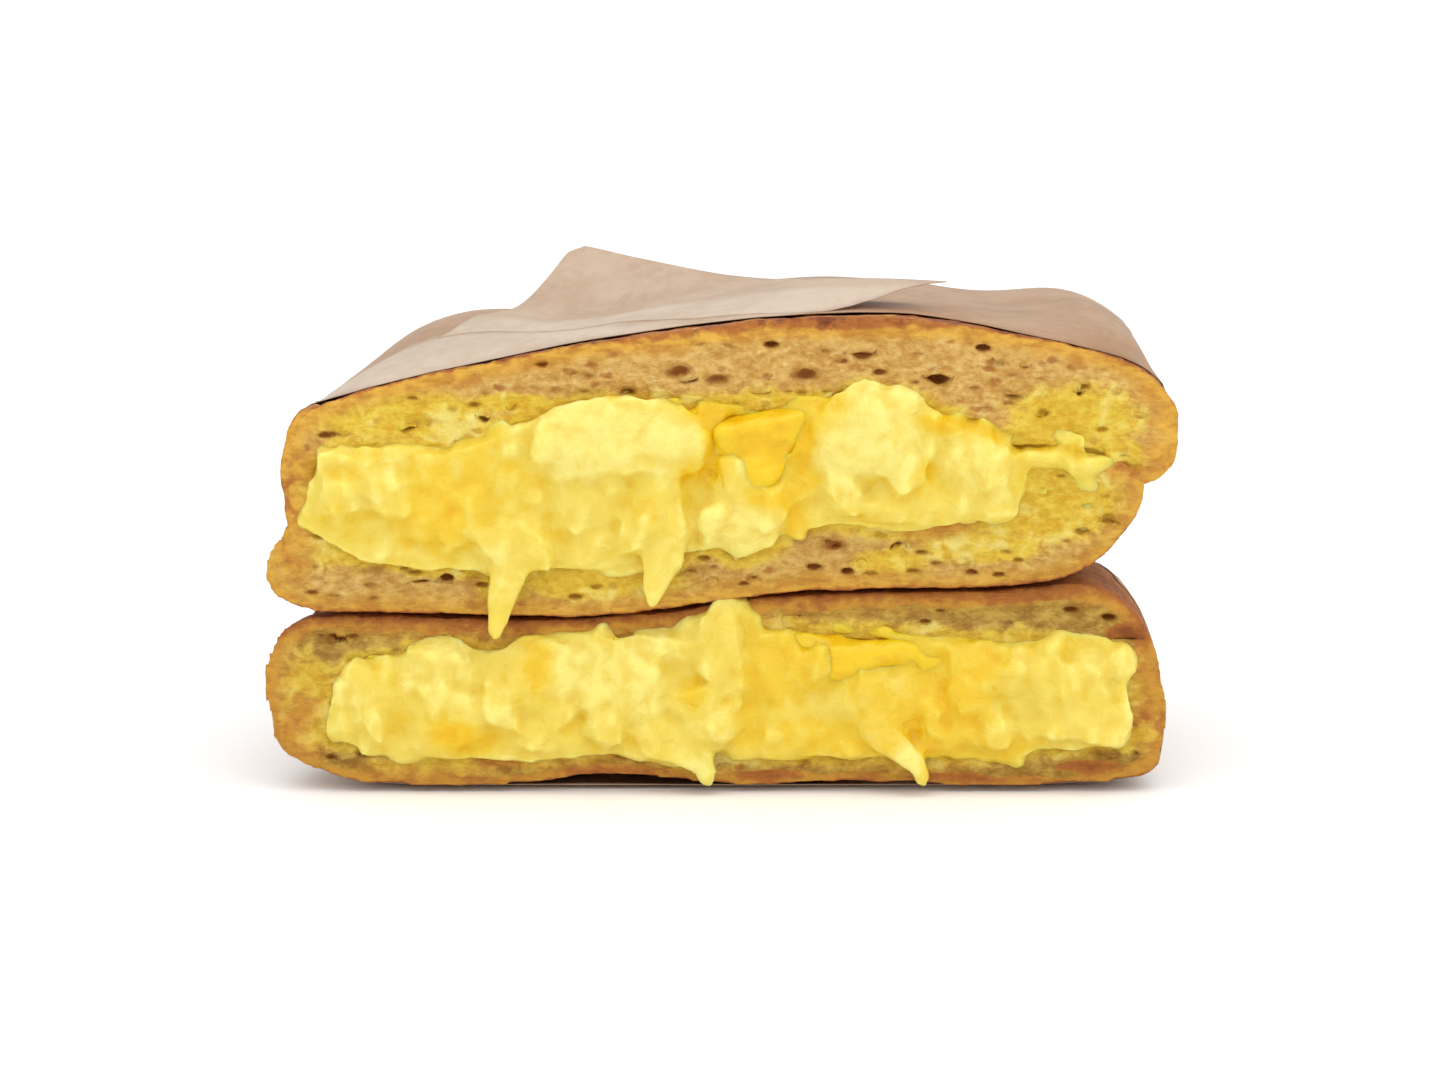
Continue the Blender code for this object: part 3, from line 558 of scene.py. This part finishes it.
lower_top = slice_of_bread(
    "lower_half_top_bread", True,
    ends=(
        (-54.6, 13.5, 9.0, 17.0, 6, 14), (-52.5, 8.0, 8.0, 8.0, 0, 14), (55.0, 10.0, 7.0, 14.0, 0, 14),
        (54.4, 15.0, 6.0, 9.0, 0, 14),
    ),
    holes=(
        (9.4, 23.6, 3.2, 1.4, -12, 2.2), (39.3, 22.9, 3.4, 1.4, -8, 2.4), (53.0, 20.4, 5.0, 1.8, -6, 3.6),
        (-49.5, 20.3, 1.6, 2.5, -15, 2.0), (-43.6, 17.9, 3.6, 1.5, -12, 2.4), (22.0, 23.2, 2.4, 1.2, 0, 1.6),
        (31.0, 24.0, 1.8, 1.1, -10, 1.4), (-31.0, 20.4, 1.8, 1.2, 0, 1.4), (-8.0, 21.6, 2.4, 1.2, 0, 1.6),
        (-24.0, 20.2, 1.6, 1.0, -20, 1.4), (15.5, 22.6, 1.8, 1.2, -20, 1.4), (47.0, 23.4, 1.6, 1.0, 0, 1.4),
    ),
    wet_places=((-54.0, 12.0, 12.0, 20.0), (55.5, 11.0, 8.0, 18.0), (-35.0, 20.0, 20.0, 3.0)),
    crusty_places=(
        (53.5, 21.4, 10.0, 3.2), (30.0, 26.8, 54.0, 3.0), (-10.0, 24.4, 30.0, 2.6),
    ),
    browned=0.8,
    lift=0.9,
)
lower_base = slice_of_bread(
    "lower_half_base_bread", False,
    ends=((-47.0, 5.6, 10.0, 5.0, -20, 14), (53.0, 5.8, 10.0, 8.0, 20, 14)),
    holes=(
        (37.0, 4.4, 5.0, 1.3, -12, 2.6), (-46.5, 5.0, 2.8, 1.3, 30, 1.8), (0.5, 3.6, 2.2, 1.1, 0, 1.6),
        (27.0, 2.8, 2.2, 1.0, 0, 1.6), (-20.0, 3.2, 2.6, 1.1, -20, 1.6), (47.0, 3.4, 2.2, 1.0, 0, 1.2),
    ),
    wet_places=((-38.0, 3.4, 26.0, 5.0), (10.0, 5.0, 30.0, 4.0)),
    crusty_places=(
        (-15.0, 2.6, 14.0, 2.4), (48.0, 3.6, 12.0, 2.4), (30.0, 2.0, 12.0, 1.8), (6.0, 2.4, 12.0, 1.8),
    ),
    browned=0.9,
)


# THE SCRAMBLED EGG
# Soft curds of egg, folded while they set and pressed flat by the bread, pale where they set first and deep
# yellow between. Their crests are also painted paler as painted light and their creases deeper yellow as
# painted shade. They stand a little proud of the cut, with thin tongues that hang over the bread.
curd_shape = grain("curd shape", "CLOUDS", 6.0, noise_depth=1)
curd_lobes = grain("curd lobes", "VORONOI", 6.5, weight_1=-1.0, weight_2=1.0)
curd_folds = grain("curd folds", "CLOUDS", 4.0, noise_depth=1)
curd_skin = grain("curd skin", "CLOUDS", 1.4, noise_depth=2)
curd_tilts = (14, -10, 6, -16, 9, -4, 18)

egg = Recipe("egg", Roughness=0.4, Specular_IOR_Level=0.32, Subsurface_Weight=0.6,
             Subsurface_Scale=0.003, Subsurface_Radius=(1.0, 0.8, 0.2))
patches = egg.cloud(7.0, 2, distortion=0.8)
wisps = egg.cloud(2.6, 3, stretch=(1, 1, 0.7), distortion=1.4)
# Painted light and shade: the tone is raised on crests and lowered in creases, so crests are paler and
# creases deeper yellow.
tone = egg.kept("tone") + 1.2 * patches + 1.5 * wisps + 1.0 * egg.kept("relief_shade")
egg_colour = egg.mix((0.775, 0.48, 0.006), (0.765, 0.535, 0.030), egg.step(tone, -1.3, -0.4))
egg_colour = egg.mix(egg_colour, (0.77, 0.60, 0.090), egg.step(tone, -0.5, 0.35))
egg_colour = egg.mix(egg_colour, (0.83, 0.73, 0.21), egg.step(tone, 0.3, 1.5))
egg.feed(Base_Color=egg_colour)
egg.relief(egg.cloud(2.2, 3, distortion=1.2) + 0.35 * egg.cloud(0.9, 2, stretch=(0.4, 1, 1)), 0.4)


def pad(x, y, z, width, depth, height, turn, tilt, lumps):
    """A flattish lump with rounded corners, in mm, turned in the cut face and tilted back by degrees."""
    bpy.ops.object.select_all(action="DESELECT")
    bpy.ops.mesh.primitive_cube_add(
        size=MM, location=(x * MM, y * MM, z * MM), scale=(width, depth, height),
        rotation=(math.radians(tilt), math.radians(turn), math.radians(0.7 * tilt)),
    )
    piece = bpy.context.object
    bpy.ops.object.transform_apply(location=True, rotation=True, scale=True)
    work(piece, "BEVEL", width=0.3 * min(width, height, depth) * MM, segments=3)
    work(piece, "SUBSURF", levels=2, render_levels=2)
    emboss(piece, curd_shape, lumps * min(width, height))
    return piece


def fill_half(node, name, curds, face, hold_back, swell, rise, thin_places, lumps):
    """The filling of one half, in mm: its solid, held back, swollen and raised, with curds joined on
    that are uneven by this share of their size. Curds are (x, z, width, height, turn, how far proud, tone
    from -1 deep to 1 pale). The solid isn't swollen in the thin places."""
    curd_depth = 6.0
    share_proud = 0.62
    crest_height = 0.35
    whole = copy_solid(node, name)
    if hold_back:
        cut_off_front(whole, face + hold_back)
    body = weigh(whole, "body", [1 - inside(thin_places, vertex.co) for vertex in whole.data.vertices])
    push(whole, swell, body, "NORMAL")
    upper_side = [ramp(vertex.normal.z, 0.1, 0.7) for vertex in whole.data.vertices]
    push(whole, rise, weigh(whole, "upper_side", upper_side))
    under_side = [
        ramp(-vertex.normal.z, 0.1, 0.7) * (1 - inside(thin_places, vertex.co))
        for vertex in whole.data.vertices
    ]
    push(whole, -0.5 * rise, weigh(whole, "under_side", under_side))
    pieces = []
    for index, (x, z, width, height, turn, proud, tone) in enumerate(curds):
        y = face - share_proud * proud + 0.5 * curd_depth
        tilt = curd_tilts[index % len(curd_tilts)]
        pieces.append(pad(x, y, z, width, curd_depth, height, turn, tilt, lumps))
    whole = join([whole, *pieces], name)
    work(whole, "REMESH", mode="VOXEL", voxel_size=0.45 * MM)
    smooth(whole, 3)
    soft = weigh(whole, "soft", [
        1 - 0.5 * inside(thin_places, vertex.co) for vertex in whole.data.vertices
    ])
    emboss(whole, curd_lobes, 1.6, group=soft, level=0.35)
    emboss(whole, curd_folds, 0.8, group=soft)
    smooth(whole, 2)
    emboss(whole, curd_skin, 0.2)
    tones, relief_shades = [], []
    for vertex, low in zip(whole.data.vertices, blurred_points(whole)):
        x, z = vertex.co.x / MM, vertex.co.z / MM
        total, weight = 0.0, 0.02
        for curd_x, curd_z, width, height, turn, proud, tone in curds:
            across, up = (x - curd_x) / (0.5 * width), (z - curd_z) / (0.5 * height)
            share = 1 / (0.05 + (across * across + up * up) ** 2.0)
            total += share * tone
            weight += share
        tones.append(total / weight)
        # Painted light and shade: how far each point stands above or sinks below its smoothed place, for
        # paler crests and deeper yellow creases.
        above = (vertex.co - low).dot(vertex.normal) / (crest_height * MM)
        relief_shades.append(max(-1.0, min(1.0, above)))
    mark(whole, "tone", tones)
    mark(whole, "relief_shade", relief_shades)
    whole.data.shade_smooth()
    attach(whole, "root")
    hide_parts(node)
    return whole


upper_curds = (
    (-48.2, 42.6, 10.4, 8.4, 0, 2.6, 0.4), (-51.2, 37.3, 7.3, 4.6, 0, 2.2, 0.1),
    (-42.3, 43.9, 6.0, 5.5, 25, 2.4, 0.6), (-34.3, 38.6, 10.9, 11.1, 0, 2.0, -0.5),
    (-45.4, 34.6, 8.3, 5.8, 0, 2.4, 0.3), (-34.0, 43.4, 9.0, 4.4, 10, 1.6, -0.2),
    (-26.6, 46.4, 6.4, 4.6, -30, 2.6, 0.9), (-18.3, 45.5, 13.0, 8.4, 4, 3.6, 1.1),
    (-7.6, 46.9, 12.5, 7.0, 14, 3.8, 1.1), (-9.0, 43.6, 10.0, 5.0, -10, 3.2, 0.9),
    (-21.2, 38.6, 12.5, 5.0, 0, 2.4, 0.6), (-15.5, 35.7, 9.1, 7.9, 0, 2.6, 0.5),
    (-9.6, 38.3, 6.8, 10.0, -8, 3.2, 0.1), (2.1, 36.4, 11.4, 8.2, -8, 3.6, 1.0),
    (-38.0, 45.6, 13.0, 4.0, -3, 1.4, -0.1), (-30.5, 47.4, 8.0, 3.4, -16, 1.2, -0.3),
    (1.0, 51.2, 9.0, 2.6, 4, 1.2, -1.2), (10.5, 51.4, 8.0, 2.8, -4, 1.4, -0.6),
    (35.5, 48.6, 6.0, 2.6, 28, 0.8, -1.0), (-9.5, 34.0, 7.0, 6.0, -10, 2.4, 0.6),
    (-3.8, 43.4, 4.9, 4.5, 0, 2.2, -0.8), (6.0, 39.8, 7.0, 3.6, -10, 2.2, -0.8),
    (-14.5, 30.9, 13.0, 5.0, -4, 1.3, 0.6), (-21.0, 31.6, 9.0, 4.6, 6, 1.2, 0.3),
    (-0.8, 47.0, 3.6, 8.0, 12, 1.8, -1.3), (10.6, 47.4, 3.4, 8.0, -8, 1.8, -1.3),
    (11.4, 42.4, 4.0, 4.0, 20, 1.6, -0.9), (29.0, 49.4, 7.0, 2.6, -32, 1.2, -1.2),
    (26.6, 43.0, 3.0, 5.0, 20, 1.6, -0.5), (10.0, 36.4, 3.0, 6.0, 0, 1.4, -0.6),
    (15.4, 44.4, 8.9, 6.4, -18, 3.4, 1.1), (22.6, 47.0, 12.0, 8.7, 6, 3.8, 1.1),
    (19.0, 41.6, 12.0, 4.4, -6, 2.8, 0.8), (14.7, 38.4, 5.7, 5.3, 0, 2.8, 0.4),
    (20.9, 37.9, 6.2, 5.4, 0, 3.0, 0.3), (27.0, 39.4, 7.2, 5.8, 0, 2.8, 0.3),
    (32.7, 44.4, 8.8, 7.9, 20, 3.2, 0.7), (34.6, 39.4, 8.6, 5.8, 10, 3.0, 0.7),
    (-25.9, 41.9, 7.8, 9.0, -15, 2.2, 0.0), (-28.5, 34.4, 7.8, 5.3, 0, 2.0, 0.3),
    (-37.6, 32.4, 10.4, 3.4, 0, 1.6, 0.1), (42.5, 45.0, 8.0, 3.0, 8, 1.4, -0.2),
    (48.4, 44.2, 8.0, 2.8, -8, 1.4, 0.1), (43.5, 47.6, 9.0, 2.2, 14, 0.6, 0.1),
    (47.0, 38.5, 4.4, 8.0, 10, 0.8, 0.2), (41.0, 41.0, 6.0, 4.0, 10, 0.8, -0.4),
    (-29.5, 32.0, 8.0, 5.0, 30, 2.0, 0.7),
)
lower_curds = (
    (-48.0, 11.9, 6.2, 8.5, 0, 3.0, 0.7), (-42.3, 12.2, 6.5, 6.9, 0, 2.8, 0.3),
    (-37.6, 16.1, 9.6, 6.9, -10, 3.0, 0.7), (-29.5, 15.8, 9.1, 6.3, 0, 2.8, 0.4),
    (-23.7, 16.9, 4.7, 6.6, 0, 2.6, -0.7), (-33.9, 8.2, 7.8, 4.5, 20, 2.6, -1.1),
    (-29.8, 10.8, 10.4, 4.8, -6, 3.2, 0.7), (-42.5, 6.9, 10.9, 5.0, 8, 2.6, 0.6),
    (-17.4, 16.9, 9.4, 11.1, -8, 3.4, 1.0), (-23.3, 8.2, 14.0, 5.3, -6, 2.8, 0.2),
    (-27.8, 4.4, 8.6, 2.1, 4, 2.0, 0.6), (-7.7, 16.6, 10.7, 11.4, 10, 3.4, 0.9),
    (-1.2, 20.6, 9.3, 7.1, -20, 2.8, 0.5), (3.0, 23.6, 5.0, 4.4, 30, 2.2, 0.0),
    (-4.0, 13.5, 5.2, 4.2, 0, 2.8, -0.6), (-1.3, 9.0, 5.7, 6.9, 10, 3.2, 0.7),
    (8.7, 16.8, 8.6, 8.0, 0, 2.6, -0.6), (14.4, 11.9, 7.5, 4.7, 0, 2.8, 0.3),
    (22.6, 13.5, 8.3, 5.1, 0, 2.8, -0.3), (29.9, 9.8, 9.1, 11.7, -10, 3.0, -0.7),
    (12.9, 7.4, 18.2, 6.1, 0, 2.6, -0.3), (38.9, 13.2, 6.0, 12.7, -28, 3.2, 0.4),
    (47.6, 13.0, 12.5, 14.0, 4, 3.4, 0.6), (-10.3, 6.9, 11.7, 5.3, 6, 2.8, 0.4),
    (5.3, 7.3, 7.8, 6.6, 0, 2.8, 0.0), (36.5, 6.2, 7.8, 5.3, 0, 2.2, -0.5),
    (32.0, 18.0, 18.0, 5.0, 4, 2.4, -0.6), (42.0, 18.2, 9.0, 4.0, 10, 2.4, 0.3),
    (9.0, 21.4, 9.0, 2.6, -6, 1.4, -0.6), (18.0, 21.4, 10.0, 2.4, 3, 1.2, -1.2),
    (28.0, 20.8, 12.0, 2.4, 0, 1.2, -0.7), (47.0, 20.0, 9.0, 2.6, 6, 1.2, 0.0),
    (-46.0, 16.6, 7.0, 3.4, -10, 2.0, 0.0), (-17.0, 20.6, 8.0, 3.0, 0, 2.0, 0.3),
    (24.5, 5.0, 3.0, 4.0, 0, 0.4, 1.5), (-3.0, 3.6, 3.0, 2.4, 0, 0.4, 1.2),
)
upper_tongues = ((-27.0, 26.0, 12.0, 15.0), (-8.5, 30.0, 9.0, 10.0))
lower_tongues = ((-4.5, 3.5, 12.0, 6.0), (24.0, 4.5, 12.0, 9.0))
for node, curds, face, tongues in (
    ("upper_half_egg", upper_curds, cut_face / MM, upper_tongues),
    ("lower_half_egg", lower_curds, lower_cut_face / MM, lower_tongues),
):
    filling = fill_half(node, node + "_curds", curds, face, 0.0, 0.6, 2.2, tongues, 0.42)
    filling.data.materials.append(egg.material)


# THE MELTED CHEESE
# One slice of yellow cheese in each half, melted onto the bread above it. It shows as a lip under the bread
# and as deep yellow pools where it ran down between the curds.
cheese = Recipe("cheese", Roughness=0.36, Specular_IOR_Level=0.35, Subsurface_Weight=0.3,
                Subsurface_Scale=0.002, Subsurface_Radius=(1.0, 0.6, 0.08))
# Painted light and shade: the cheese is paler on its crests and deeper yellow in its creases.
melt = cheese.cloud(4.0, 3, distortion=0.8) + 0.5 * cheese.kept("relief_shade")
cheese_colour = cheese.mix((0.765, 0.44, 0.004), (0.79, 0.55, 0.012), cheese.step(melt, -0.3, 0.3))
cheese.feed(Base_Color=cheese_colour)
cheese.relief(cheese.cloud(1.6, 2), 0.3)
upper_melt = (
    (5.4, 47.8, 13.0, 7.0, -10, 3.6, 0), (4.8, 44.4, 9.0, 8.0, 38, 3.6, 0),
    (1.6, 45.4, 6.4, 6.0, 20, 3.2, 0), (-11.4, 51.4, 9.0, 2.4, 4, 2.2, 0),
    (-4.2, 42.6, 3.0, 6.0, 40, 2.6, 0),
)
lower_melt = (
    (20.9, 18.3, 15.6, 6.4, 0, 3.0, 0), (12.0, 19.4, 9.0, 4.6, 10, 2.8, 0),
    (30.0, 17.4, 9.0, 4.0, 0, 2.6, 0),
)
for node, curds, face in (
    ("upper_half_cheese", upper_melt, cut_face / MM), ("lower_half_cheese", lower_melt, lower_cut_face / MM)
):
    filling = fill_half(node, node + "_melt", curds, face, 1.2, 0.6, 1.0, (), 0.3)
    filling.data.materials.append(cheese.material)


# THE WRAPPING PAPER
# Thin unbleached greaseproof paper, cut through with the roll. One sheet goes tightly over the upper half
# and one under the lower half, each round the sides and the back and open at the cut.
def taut_round(pieces, name):
    """The shape that a sheet pulled tight round these pieces has."""
    bpy.ops.object.select_all(action="DESELECT")
    for piece in pieces:
        piece.select_set(True)
    bpy.context.view_layer.objects.active = pieces[0]
    bpy.ops.object.duplicate()
    shape = join(list(bpy.context.selected_objects), name)
    edit(shape)
    bpy.ops.mesh.convex_hull()
    done()
    return shape


upper_taut = taut_round((upper_top, upper_base), "upper_taut")
lower_taut = taut_round((lower_top, lower_base), "lower_taut")

paper_gap = 0.15
paper_thickness = 0.12
crumple = grain("crumple", "CLOUDS", 16.0, noise_depth=1)
paper = Recipe("paper", Roughness=0.5, Specular_IOR_Level=0.3)
fibres = 0.8 * paper.cloud(1.6, 4) + 0.8 * paper.cloud(12.0, 2)
sweep = paper.cloud(9.0, 2, stretch=(0.5, 1.0, 1.6))
single = paper.mix((0.375, 0.220, 0.122), (0.455, 0.292, 0.180), paper.step(fibres + sweep, -0.3, 0.3))
double = paper.mix((0.510, 0.395, 0.295), (0.590, 0.480, 0.375), paper.step(fibres + sweep, -0.3, 0.3))
paper.feed(Base_Color=paper.mix(single, double, paper.kept("doubled")))
paper.relief(sweep + 0.04 * fibres, 0.5)


def outer_sheet(node, name, taut):
    """The outer face of a solid sheet that goes round a taut shape, smooth and open all round."""
    sheet = copy_solid(node, name)
    to_taut = BVHTree.FromObject(taut, bpy.context.evaluated_depsgraph_get())
    middle = sum((vertex.co for vertex in taut.data.vertices), Vector()) / len(taut.data.vertices)
    edit(sheet)

    rim_slope = 0.25

    def is_rim_or_inner(face):
        away = (face.center - to_taut.find_nearest(face.center)[0]).normalized()
        return abs(face.normal.dot(away)) < rim_slope or face.normal.dot(face.center - middle) < 0

    select_faces(sheet, is_rim_or_inner)
    bpy.ops.mesh.delete(type="FACE")
    bpy.ops.mesh.select_all(action="SELECT")
    bpy.ops.mesh.tris_convert_to_quads(
        face_threshold=math.radians(60), shape_threshold=math.radians(80)
    )
    done()
    work(sheet, "SUBSURF", levels=2, render_levels=2, boundary_smooth="PRESERVE_CORNERS")
    return sheet


def from_edge(sheet):
    """How far each point of an open sheet is from its edge, in mm."""
    sides = {}
    for polygon in sheet.data.polygons:
        for key in polygon.edge_keys:
            sides[key] = sides.get(key, 0) + 1
    rim = {index for key, count in sides.items() if count == 1 for index in key}
    tree = KDTree(len(rim))
    for index in rim:
        tree.insert(sheet.data.vertices[index].co, index)
    tree.balance()
    return [tree.find(vertex.co)[2] / MM for vertex in sheet.data.vertices]


def lay(sheet, taut, edge_width, side):
    """Draws a sheet onto a taut shape near its edge and beyond x = side mm, and keeps all of it outside."""
    weights = [
        max(1 - ramp(away, 0.0, edge_width), ramp(abs(vertex.co.x) / MM, side, side + 5.0))
        for vertex, away in zip(sheet.data.vertices, from_edge(sheet))
    ]
    group = weigh(sheet, "laid", weights)
    work(sheet, "SHRINKWRAP", target=taut, wrap_method="NEAREST_SURFACEPOINT",
         wrap_mode="ABOVE_SURFACE", offset=paper_gap * MM, vertex_group=group)
    work(sheet, "SHRINKWRAP", target=taut, wrap_method="NEAREST_SURFACEPOINT",
         wrap_mode="OUTSIDE", offset=paper_gap * MM)


def finish_sheet(sheet, node, doubled):
    """Gives a sheet its thickness. It is pale where doubled(point) is 1 and darker where it is 0."""
    work(sheet, "SOLIDIFY", thickness=paper_thickness * MM, offset=-1.0)
    mark(sheet, "doubled", [doubled(vertex.co / MM) for vertex in sheet.data.vertices])
    sheet.data.shade_smooth()
    sheet.data.materials.append(paper.material)
    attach(sheet, "root")
    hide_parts(node)


turned_edge = Vector((-27.0, cut_face / MM + 14.0, 0.0))
turned_across = Vector((0.2, 1.0, 0.0)).normalized()


def behind_turned_edge(point):
    """How far a point is behind the edge of the turned-back layer, in mm."""
    return (point - turned_edge).dot(turned_across)


upper_sheet = outer_sheet("upper_half_paper", "upper_half_sheet", upper_taut)
emboss(upper_sheet, crumple, 0.8, "NORMAL")
lay(upper_sheet, upper_taut, 5.0, 54.0)
finish_sheet(
    upper_sheet, "upper_half_paper",
    lambda point: (1 - ramp(behind_turned_edge(point), -0.6, 0.6)) * (1 - ramp(point.x, 27.0, 33.0)),
)

lower_sheet = outer_sheet("lower_half_paper", "lower_half_sheet", lower_taut)
lay(lower_sheet, lower_taut, 5.0, 50.0)
finish_sheet(lower_sheet, "lower_half_paper", lambda point: 0.3)


# THE TURNED-BACK CORNER
# The upper sheet's front edge, turned back over the top, so that it makes a pale double band along the crust
# that ends in a tip on the right. One corner of it stands up on the left.
corner = outer_sheet("turned_back_paper", "turned_back_corner", upper_taut)
edit(corner)
bpy.ops.mesh.bisect(plane_co=turned_edge * MM, plane_no=turned_across, clear_inner=True)
done()
lying = []
for vertex in corner.data.vertices:
    behind = behind_turned_edge(vertex.co / MM)
    lying.append((1 - ramp(behind, 1.0, 8.0)) * (1 - ramp(vertex.co.x / MM, 23.0, 30.0)))
work(corner, "SHRINKWRAP", target=upper_sheet, wrap_method="PROJECT", wrap_mode="ABOVE_SURFACE",
     use_project_z=True, use_negative_direction=True, use_positive_direction=True, offset=0.1 * MM,
     vertex_group=weigh(corner, "lying", lying))
finish_sheet(corner, "turned_back_paper", lambda point: 1 - 0.45 * ramp(behind_turned_edge(point), 6.0, 9.0))
for helper in (upper_taut, lower_taut, lengthwise):
    bpy.data.objects.remove(helper)
